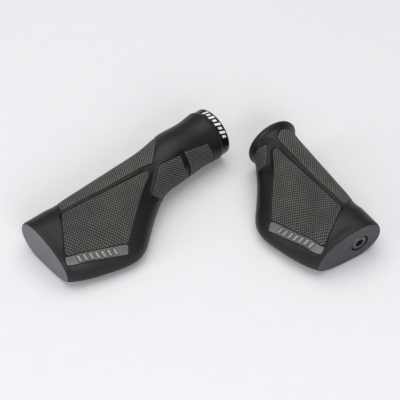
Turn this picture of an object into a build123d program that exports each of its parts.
from build123d import *
import math
import os

# A pair of winged handlebar grips: a long one with a clamp ring, and a short one, for a bar with a twist
# shifter, held by an expander bolt. Millimetres.
# Each grip is drawn in a frame of its own: X runs along the bar from the outboard end to the inboard end, the
# wing lies to one side of X, and Z is up. Both are then laid on the ground plane, and the origin is the
# middle of the pair's footprint.

os.makedirs("parts", exist_ok=True)

# ---------------------------------------------------------------- driving dimensions

bar_bore = 11.2  # radius of the sleeve's bore, over a 22.2 mm bar
relief_bore = 11.5  # radius of the sleeve's bore at its lead-in and beside the expander
lead_in = 0.8  # length of the wider lead-in at the inboard end of the long sleeve
core_radius = 12.2  # outside of the sleeve under the rubber
cap_thickness = 2.0
cap_rounding = 0.9
round_pull = 0.5523  # how far a cubic curve's handles reach to draw a quarter circle

long_length = 137.0
short_length = 92.0
ring_width = 6.0
ring_radius = 15.8
ring_bevel = 0.6
rim_rounding = 0.6
long_rubber_end = long_length - ring_width

# Cross-sections by stations: distance from the outboard end, reach of the wing's tip, height of the tip,
# radius over the bar, and depth of the underside.
outboard_radius = 14.5
long_waist = 13.9
short_waist = 13.5
flange_radius = 17.0
belly = 12.7
step_start = 15.5  # where the smooth outboard stretch begins to sink to the waist
wing_stations = [
    (0.0, 28.9, -3.4),
    (5.0, 32.3, -3.9),
    (10.0, 34.7, -4.3),
    (15.0, 36.7, -4.6),
    (20.0, 38.4, -4.8),
    (30.0, 41.3, -5.3),
    (38.0, 42.7, -5.5),
    (44.0, 42.2, -5.3),
    (50.0, 39.6, -5.0),
    (56.0, 35.2, -4.3),
    (63.0, 30.0, -3.3),
    (71.0, 24.6, -2.0),
    (79.0, 20.0, -0.9),
]
long_neck_stations = [
    (88.0, 17.0, -0.1, 14.3, 13.6),
    (95.0, 16.5, 0.0, 15.2, 14.4),
    (103.0, 16.0, 0.0, 16.1, 15.0),
    (113.0, 15.5, 0.0, 15.9, 15.1),
    (121.0, 15.5, 0.0, 15.8, 15.2),
    (127.0, 16.2, 0.0, 16.4, 15.5),
    (long_rubber_end, 16.6, 0.0, 16.8, 15.7),
]
short_neck_stations = [
    (85.0, 17.2, -0.2, 13.8, 14.0),
    (88.5, 16.6, 0.0, 14.8, 15.0),
    (90.5, 16.8, 0.0, 16.3, 16.3),
    (short_length, flange_radius, 0.0, flange_radius, flange_radius),
]
neck_reach = 16.0  # reach at which a section has no wing left
full_reach = 42.7

# Inlays: outlines in the plane they face, as distance along the bar and across it, and their thickness.
pad_thickness = 1.0
strip_thickness = 0.9
pad_corner = 2.0
strip_corner = 0.8
upward = 90.0  # direction that the palm pad faces, degrees up from the wing's side
frontward = 140.0
sideward = 25.0
palm_outline = [(19.3, 0.0), (78.8, 6.5), (38.8, 35.6), (4.1, 21.9)]
nameplate_outline = [(3.7, 22.5), (38.6, 36.3), (36.0, 38.6), (2.8, 25.6)]
long_strip_outline = [
    (20.3, 9.0),
    (52.0, 11.4),
    (76.0, 12.2),
    (84.0, 13.2),
    (90.0, 10.5),
    (96.5, 6.3),
    (103.0, -9.5),
    (26.5, -9.5),
    (22.3, 3.5),
]
short_strip_outline = [
    (20.0, 8.2),
    (45.0, 10.6),
    (71.0, 11.4),
    (84.5, 11.6),
    (87.6, 8.5),
    (87.0, -9.5),
    (26.5, -9.5),
    (22.3, 3.0),
]
inboard_patch_outline = [(104.3, -8.1), (121.4, -4.2), (123.6, 6.8), (124.5, 11.0), (104.6, 11.0)]
outboard_patch_outline = [
    (86.8, -8.6),
    (101.0, -7.6),
    (100.5, 0.0),
    (102.5, 6.0),
    (102.5, 10.8),
    (90.0, 11.2),
    (78.8, 10.5),
    (70.9, 0.7),
]
side_patch_outline = [(84.2, -7.2), (86.6, -2.1), (86.8, 6.5), (82.5, 10.0), (74.5, 6.5), (72.4, -1.5)]

# Stiffener plate of the sleeve inside the wing.
plate_outline = [(8.0, 0.0), (8.0, 20.0), (14.0, 27.0), (34.0, 31.5), (43.0, 30.0), (60.0, 17.0), (68.0, 0.0)]
plate_bottom = -6.4
plate_thickness = 2.8
plate_corner = 3.0
plate_holes = [(18.0, 19.5), (29.0, 22.0), (40.0, 22.5), (50.0, 17.0)]
plate_hole_radius = 2.6
spigot_length = 4.0
spigot_radius = 11.6
spigot_wall = 1.2

# Clamp ring and its screw.
tooth_count = 3
tooth_width = 5.0
tooth_depth = 2.2
tooth_wall = 0.9
tooth_gap = 0.2
tooth_turn = 25.0
clamp_turn = 205.0  # where the ring is split, degrees from the wing's side, over the top
clamp_bore = 11.15
clamp_gap = 1.4
boss_inner = 12.5
boss_outer = 17.9
boss_length = 11.0
boss_rounding = 1.2
clamp_screw_radius = 1.25
clamp_screw_length = 8.0
clamp_screw_offset = 15.1  # the screw's axis, from the bar's axis
clamp_head_radius = 2.25
clamp_head_height = 2.5
clamp_socket = 2.0
clamp_seat = 2.4  # from the split to the face under the head
thread_gap = 0.05  # radial room between a screw and its hole
head_gap = 0.15

# Expander of the short grip.
bolt_radius = 3.0
bolt_length = 36.2
bolt_head_radius = 5.0
bolt_head_height = 6.0
bolt_socket = 5.0
bolt_sunk = 0.4
bolt_pitch = 1.0
socket_depth_share = 0.5
screw_chamfer = 0.4
washer_radius = 5.4
washer_thickness = 1.6
washer_hole = 3.2
recess_radius = 5.6
recess_chamfer = 0.4
through_hole = 3.3
wall_end = 12.0
cage_radius = 8.3
cage_bore = 6.7
cage_floor = 1.1
cage_length = 31.0
segment_count = 3
segment_width = 9.0
segment_length = 19.8
segment_radius = 8.5
segment_gap = 0.1
segment_flat = 4.3  # from the bolt's axis to the inner face of a segment
ramp_angle = 10.0
ramp_length = 12.0
ramp_gap = 0.05
nut_radius = 6.6
nut_length = 13.0
nut_setback = 4.0  # the nut's free travel along the ramp

# How the grips lie: place of the inboard end's centre on the ground, heading of the bar's axis, how far the
# outboard end dips, and how far the wing leans down until it touches the ground.
long_place = (7.99, 43.8)
long_heading = 41.73
long_dip = 1.2
long_lean = 4.0
short_place = (44.37, 32.85)
short_heading = 121.49
short_dip = 2.6
short_lean = 4.0

# ---------------------------------------------------------------- shapes shared by both grips


def wing_with_waist(waist, neck_stations):
    """All stations of a grip: the wing's, with the radius that they have on this grip, and the neck's."""
    wing = []
    for along, reach, tip in wing_stations:
        radius = outboard_radius if along < step_start else waist
        wing.append((along, reach, tip, radius, belly))
    return wing + neck_stations


def section_curves(reach, tip, radius, depth, side):
    """Control points of a cross-section's four curves: wing top, wing underside, front below, front above."""
    wing = min(max((reach - neck_reach) / (full_reach - neck_reach), 0.0), 1.0)
    top_pull = round_pull + 0.06 * wing
    tip_pull = round_pull - 0.06 * wing
    under_pull = round_pull + 0.12 * wing
    top, bottom, nose = (0.0, radius), (0.0, -depth), (-radius, 0.0)
    end = (reach, tip)
    curves = [
        (top, (top_pull * reach, radius), (reach, tip + tip_pull * (radius - tip)), end),
        (end, (reach, tip - under_pull * (tip + depth)), (under_pull * reach, -depth), bottom),
        (bottom, (-round_pull * radius, -depth), (-radius, -round_pull * depth), nose),
        (nose, (-radius, round_pull * radius), (-round_pull * radius, radius), top),
    ]
    return [[(side * across, up) for across, up in curve] for curve in curves]


def make_skin(stations, side, sunk):
    """A loft through the stations, every section drawn in by a depth; the outermost one has a soft rim."""
    with BuildPart() as skin:
        for along, reach, tip, radius, depth in stations:
            with BuildSketch(Plane.YZ.offset(along)):
                with BuildLine():
                    for curve in section_curves(reach - sunk, tip, radius - sunk, depth - sunk, side):
                        Bezier(*curve)
                make_face()
        loft()
        if not sunk:
            fillet(skin.faces().sort_by(Axis.X)[-1].edges(), rim_rounding)
    return skin.part


def facing_plane(angle, side):
    """A plane through the bar's axis that faces out at an angle, up from the wing's side."""
    turn = math.radians(angle)
    return Plane(origin=(0, 0, 0), x_dir=(1, 0, 0), z_dir=(0, side * math.cos(turn), math.sin(turn)))


def make_inlay(skin, under, outline, angle, side, corner):
    """What lies between two skins inside an outline, seen from the direction that it faces."""
    with BuildPart() as inlay:
        with BuildSketch(facing_plane(angle, side)):
            with BuildLine():
                corners = [(along, side * across) for along, across in outline]
                FilletPolyline(*corners, radius=corner, close=True)
            make_face()
        extrude(amount=2 * full_reach)
        add(skin, mode=Mode.INTERSECT)
        add(under, mode=Mode.SUBTRACT)
    return inlay


def make_core(side, start, end, extras):
    """The sleeve over the bar with the stiffener plate that carries the wing; extras are added to it."""
    with BuildPart() as core:
        with BuildSketch(Plane.YZ.offset(start)):
            Circle(core_radius)
        extrude(amount=end - start)
        with BuildSketch(Plane.XY.offset(plate_bottom)):
            with BuildLine():
                corners = [(along, side * across) for along, across in plate_outline]
                FilletPolyline(*corners, radius=plate_corner, close=True)
            make_face()
            with Locations(*[(along, side * across) for along, across in plate_holes]):
                Circle(plate_hole_radius, mode=Mode.SUBTRACT)
        extrude(amount=plate_thickness)
        for extra in extras:
            add(extra)
        with BuildSketch(Plane.YZ.offset(start)):
            Circle(bar_bore)
        extrude(amount=long_length, mode=Mode.SUBTRACT)
    return core


def make_rubber(skin, core, inlays, start):
    """The rubber body: the skin past the end cap, less the sleeve and the inlays."""
    with BuildPart() as rubber:
        add(skin)
        split(bisect_by=Plane.YZ.offset(start), keep=Keep.TOP)
        with BuildSketch(Plane.YZ.offset(start)):
            Circle(core_radius)
        extrude(amount=long_length, mode=Mode.SUBTRACT)
        add(core, mode=Mode.SUBTRACT)
        for inlay in inlays:
            add(inlay.part, mode=Mode.SUBTRACT)
    return rubber


def make_screw(plane, radius, length, head_radius, head_height, socket):
    """A socket cap screw: the plane lies under its head, and its normal points out of the head."""
    with BuildPart() as screw:
        with BuildSketch(plane):
            Circle(head_radius)
        extrude(amount=head_height)
        with BuildSketch(plane):
            Circle(radius)
        extrude(amount=-length)
        rims = screw.edges().filter_by(GeomType.CIRCLE).sort_by(Axis(plane.origin, plane.z_dir))
        chamfer((rims[0], rims[-1]), screw_chamfer)
        with BuildSketch(plane.offset(head_height)):
            RegularPolygon(socket / 2, 6, major_radius=False)
        extrude(amount=-socket_depth_share * head_height, mode=Mode.SUBTRACT)
    return screw


# ---------------------------------------------------------------- long grip

long_side = -1
long_stations = wing_with_waist(long_waist, long_neck_stations)
long_skin = make_skin(long_stations, long_side, 0.0)
long_deep = make_skin(long_stations, long_side, pad_thickness)
long_shallow = make_skin(long_stations, long_side, strip_thickness)


def long_inlay(under, outline, angle, corner=strip_corner):
    """An inlay of the long grip, down to a skin below the outside."""
    return make_inlay(long_skin, under, outline, angle, long_side, corner)


long_palm_pad = long_inlay(long_deep, palm_outline, upward, pad_corner)
long_nameplate = long_inlay(long_shallow, nameplate_outline, upward)
long_front_strip = long_inlay(long_shallow, long_strip_outline, frontward)
long_neck_patch_inboard = long_inlay(long_shallow, inboard_patch_outline, sideward)
long_neck_patch_outboard = long_inlay(long_shallow, outboard_patch_outline, sideward)

tooth_middle = bar_bore + thread_gap + tooth_wall / 2
with BuildPart() as teeth:
    with BuildSketch(Plane.YZ.offset(long_rubber_end)):
        with PolarLocations(tooth_middle, tooth_count, tooth_turn):
            Rectangle(tooth_wall, tooth_width)
    extrude(amount=tooth_depth)

long_sleeve = make_core(long_side, cap_thickness, long_rubber_end, [teeth.part])
with BuildPart() as long_core:
    add(long_sleeve.part)
    with BuildSketch(Plane.YZ.offset(cap_thickness)):
        Circle(spigot_radius)
    extrude(amount=spigot_length, mode=Mode.SUBTRACT)
    with BuildSketch(Plane.YZ.offset(long_rubber_end)):
        Circle(relief_bore)
    extrude(amount=-lead_in, mode=Mode.SUBTRACT)

long_rubber = make_rubber(
    long_skin,
    long_core.part,
    [long_palm_pad, long_nameplate, long_front_strip, long_neck_patch_inboard, long_neck_patch_outboard],
    cap_thickness,
)

with BuildPart() as long_end_cap:
    add(long_skin)
    split(bisect_by=Plane.YZ.offset(cap_thickness), keep=Keep.BOTTOM)
    fillet(long_end_cap.faces().sort_by(Axis.X)[0].edges(), cap_rounding)
    with BuildSketch(Plane.YZ.offset(cap_thickness)):
        Circle(spigot_radius)
        Circle(spigot_radius - spigot_wall, mode=Mode.SUBTRACT)
    extrude(amount=spigot_length)

split_turn = math.radians(clamp_turn)
split_out = Vector(0, long_side * math.cos(split_turn), math.sin(split_turn))
split_along = Vector(0, -long_side * math.sin(split_turn), math.cos(split_turn))
ring_middle = Vector(long_rubber_end + ring_width / 2, 0, 0)
screw_plane = Plane(
    origin=ring_middle + split_out * clamp_screw_offset, x_dir=(1, 0, 0), z_dir=-split_along
)
boss_plane = Plane(origin=ring_middle, x_dir=(1, 0, 0), z_dir=split_out)

with BuildPart() as long_clamp_ring:
    with BuildSketch(Plane.YZ.offset(long_rubber_end)):
        Circle(ring_radius)
    extrude(amount=ring_width)
    chamfer(long_clamp_ring.edges().sort_by(Axis.X)[-1], ring_bevel)
    with BuildSketch(boss_plane.offset(boss_inner)):
        RectangleRounded(ring_width, boss_length, boss_rounding)
    extrude(amount=boss_outer - boss_inner)
    with BuildSketch(Plane.YZ.offset(long_rubber_end)):
        Circle(clamp_bore)
    extrude(amount=ring_width, mode=Mode.SUBTRACT)
    with BuildSketch(boss_plane):
        Rectangle(2 * ring_width, clamp_gap)
    extrude(amount=2 * boss_outer, mode=Mode.SUBTRACT)
    with BuildSketch(screw_plane):
        Circle(clamp_screw_radius + thread_gap)
    extrude(amount=boss_length, both=True, mode=Mode.SUBTRACT)
    with BuildSketch(screw_plane.offset(clamp_seat)):
        Circle(clamp_head_radius + head_gap)
    extrude(amount=boss_length, mode=Mode.SUBTRACT)
    with BuildSketch(Plane.YZ.offset(long_rubber_end)):
        with PolarLocations(tooth_middle, tooth_count, tooth_turn):
            Rectangle(tooth_wall + 2 * tooth_gap, tooth_width + 2 * tooth_gap)
    extrude(amount=tooth_depth + tooth_gap, mode=Mode.SUBTRACT)

long_clamp_screw = make_screw(
    screw_plane.offset(clamp_seat),
    clamp_screw_radius,
    clamp_screw_length,
    clamp_head_radius,
    clamp_head_height,
    clamp_socket,
)

# ---------------------------------------------------------------- short grip

short_side = 1
short_stations = wing_with_waist(short_waist, short_neck_stations)
short_skin = make_skin(short_stations, short_side, 0.0)
short_deep = make_skin(short_stations, short_side, pad_thickness)
short_shallow = make_skin(short_stations, short_side, strip_thickness)


def short_inlay(under, outline, angle, corner=strip_corner):
    """An inlay of the short grip, down to a skin below the outside."""
    return make_inlay(short_skin, under, outline, angle, short_side, corner)


short_palm_pad = short_inlay(short_deep, palm_outline, upward, pad_corner)
short_nameplate = short_inlay(short_shallow, nameplate_outline, upward)
short_front_strip = short_inlay(short_shallow, short_strip_outline, frontward)
short_side_patch = short_inlay(short_shallow, side_patch_outline, sideward)

head_seat = bolt_sunk + bolt_head_height
recess_floor = head_seat + washer_thickness
relief_end = wall_end + cage_length + 1.0
segment_start = wall_end + cage_floor + segment_gap
ramp_start = segment_start + segment_length - ramp_length
nut_start = ramp_start + nut_setback
ramp_rise = math.tan(math.radians(ramp_angle))

with BuildPart() as end_wall:
    with BuildSketch(Plane.YZ.offset(cap_thickness)):
        Circle(core_radius)
    extrude(amount=wall_end - cap_thickness)
    with BuildSketch(Plane.YZ.offset(cap_thickness)):
        Circle(recess_radius)
    extrude(amount=recess_floor - cap_thickness, mode=Mode.SUBTRACT)
    with BuildSketch(Plane.YZ.offset(cap_thickness)):
        Circle(through_hole)
    extrude(amount=wall_end, mode=Mode.SUBTRACT)

short_sleeve = make_core(short_side, cap_thickness, short_length, [])
with BuildPart() as short_core:
    add(short_sleeve.part)
    add(end_wall.part)
    with BuildSketch(Plane.YZ.offset(wall_end)):
        Circle(relief_bore)
    extrude(amount=relief_end - wall_end, mode=Mode.SUBTRACT)

short_rubber = make_rubber(
    short_skin,
    short_core.part,
    [short_palm_pad, short_nameplate, short_front_strip, short_side_patch],
    cap_thickness,
)

with BuildPart() as short_end_cap:
    add(short_skin)
    split(bisect_by=Plane.YZ.offset(cap_thickness), keep=Keep.BOTTOM)
    fillet(short_end_cap.faces().sort_by(Axis.X)[0].edges(), cap_rounding)
    with BuildSketch(Plane.YZ):
        Circle(recess_radius)
    extrude(amount=cap_thickness, mode=Mode.SUBTRACT)
    rim = short_end_cap.edges().filter_by(GeomType.CIRCLE).sort_by(Axis.X)[0]
    chamfer(rim, recess_chamfer)

outward = Plane(origin=(0, 0, 0), x_dir=(0, 1, 0), z_dir=(-1, 0, 0))
short_bolt = make_screw(
    outward.offset(-head_seat), bolt_radius, bolt_length, bolt_head_radius, bolt_head_height, bolt_socket
)

with BuildPart() as short_washer:
    with BuildSketch(Plane.YZ.offset(head_seat)):
        Circle(washer_radius)
        Circle(washer_hole, mode=Mode.SUBTRACT)
    extrude(amount=washer_thickness)

with BuildPart() as short_expander_cage:
    with BuildSketch(Plane.YZ.offset(wall_end)):
        Circle(cage_radius)
    extrude(amount=cage_length)
    with BuildSketch(Plane.YZ.offset(wall_end + cage_floor)):
        Circle(cage_bore)
    extrude(amount=cage_length, mode=Mode.SUBTRACT)
    with BuildSketch(Plane.YZ.offset(wall_end)):
        Circle(through_hole)
    extrude(amount=cage_floor, mode=Mode.SUBTRACT)
    with BuildSketch(Plane.YZ.offset(wall_end + cage_floor)):
        with PolarLocations(cage_radius, segment_count, upward):
            Rectangle(cage_radius, segment_width + 2 * segment_gap)
    extrude(amount=segment_length + 2 * segment_gap, mode=Mode.SUBTRACT)


nut_turn = upward + 180 / segment_count  # a corner of the nut lies between two segments


def ramp_height(along, gap):
    """Distance from the bolt's axis to the ramp, at a place along the bar, less a gap."""
    return segment_flat + (along - ramp_start) * ramp_rise - gap


def make_segment(turn):
    """One expander segment: round outside, flat inside with a ramp at its inboard end."""
    out = (0, math.cos(math.radians(turn)), math.sin(math.radians(turn)))
    across = Vector(1, 0, 0).cross(Vector(*out))
    profile_plane = Plane(origin=(0, 0, 0), x_dir=(1, 0, 0), z_dir=across)
    end = segment_start + segment_length
    clear = segment_radius + segment_gap
    with BuildPart() as segment:
        with BuildSketch(profile_plane):
            with BuildLine():
                Polyline(
                    (segment_start, segment_flat),
                    (ramp_start, segment_flat),
                    (end, ramp_height(end, 0.0)),
                    (end, clear),
                    (segment_start, clear),
                    close=True,
                )
            make_face()
        extrude(amount=segment_width / 2, both=True)
        with BuildSketch(Plane.YZ.offset(segment_start)):
            Circle(segment_radius)
        extrude(amount=segment_length, mode=Mode.INTERSECT)
    return segment


segment_turns = [upward + number * 360 / segment_count for number in range(segment_count)]
segments = [make_segment(turn) for turn in segment_turns]

with BuildPart() as short_wedge_nut:
    for along in (nut_start, nut_start + nut_length):
        with BuildSketch(Plane.YZ.offset(along)):
            to_face = ramp_height(along, ramp_gap)
            RegularPolygon(to_face, segment_count, major_radius=False, rotation=nut_turn)
    loft(ruled=True)
    with BuildSketch(Plane.YZ.offset(nut_start)):
        Circle(nut_radius)
    extrude(amount=nut_length, mode=Mode.INTERSECT)
    with BuildSketch(Plane.YZ.offset(nut_start)):
        Circle(bolt_radius + thread_gap)
    extrude(amount=nut_length, mode=Mode.SUBTRACT)

# ---------------------------------------------------------------- laying the pair down and writing it


def lay(place, end_radius, length, heading, dip, lean, side):
    """The placement that lays a grip down: inboard end over its place, wing leaning to the ground."""
    x, y = place
    turned = Pos(x, y, end_radius) * Rot(0, 0, heading) * Rot(0, -dip, 0)
    return turned * Rot(-side * lean, 0, 0) * Pos(-length, 0, 0)


long_lay = lay(long_place, ring_radius, long_length, long_heading, long_dip, long_lean, long_side)
short_lay = lay(short_place, flange_radius, short_length, short_heading, short_dip, short_lean, short_side)

long_pieces = {
    "long_core": long_core,
    "long_rubber": long_rubber,
    "long_palm_pad": long_palm_pad,
    "long_front_strip": long_front_strip,
    "long_neck_patch_inboard": long_neck_patch_inboard,
    "long_neck_patch_outboard": long_neck_patch_outboard,
    "long_nameplate": long_nameplate,
    "long_end_cap": long_end_cap,
    "long_clamp_ring": long_clamp_ring,
    "long_clamp_screw": long_clamp_screw,
}
short_pieces = {
    "short_core": short_core,
    "short_rubber": short_rubber,
    "short_palm_pad": short_palm_pad,
    "short_front_strip": short_front_strip,
    "short_side_patch": short_side_patch,
    "short_nameplate": short_nameplate,
    "short_end_cap": short_end_cap,
    "short_bolt": short_bolt,
    "short_washer": short_washer,
    "short_expander_cage": short_expander_cage,
    "short_wedge_nut": short_wedge_nut,
}
for number, segment in enumerate(segments, start=1):
    short_pieces[f"short_segment_{number}"] = segment

laid = {name: long_lay * piece.part for name, piece in long_pieces.items()}
laid.update({name: short_lay * piece.part for name, piece in short_pieces.items()})
boxes = [piece.bounding_box() for piece in laid.values()]
low_x, high_x = min(box.min.X for box in boxes), max(box.max.X for box in boxes)
low_y, high_y = min(box.min.Y for box in boxes), max(box.max.Y for box in boxes)
to_origin = Pos(-(low_x + high_x) / 2, -(low_y + high_y) / 2, -min(box.min.Z for box in boxes))

for name, piece in laid.items():
    finished = to_origin * piece
    finished.label = name
    export_step(finished, f"parts/{name}.step")
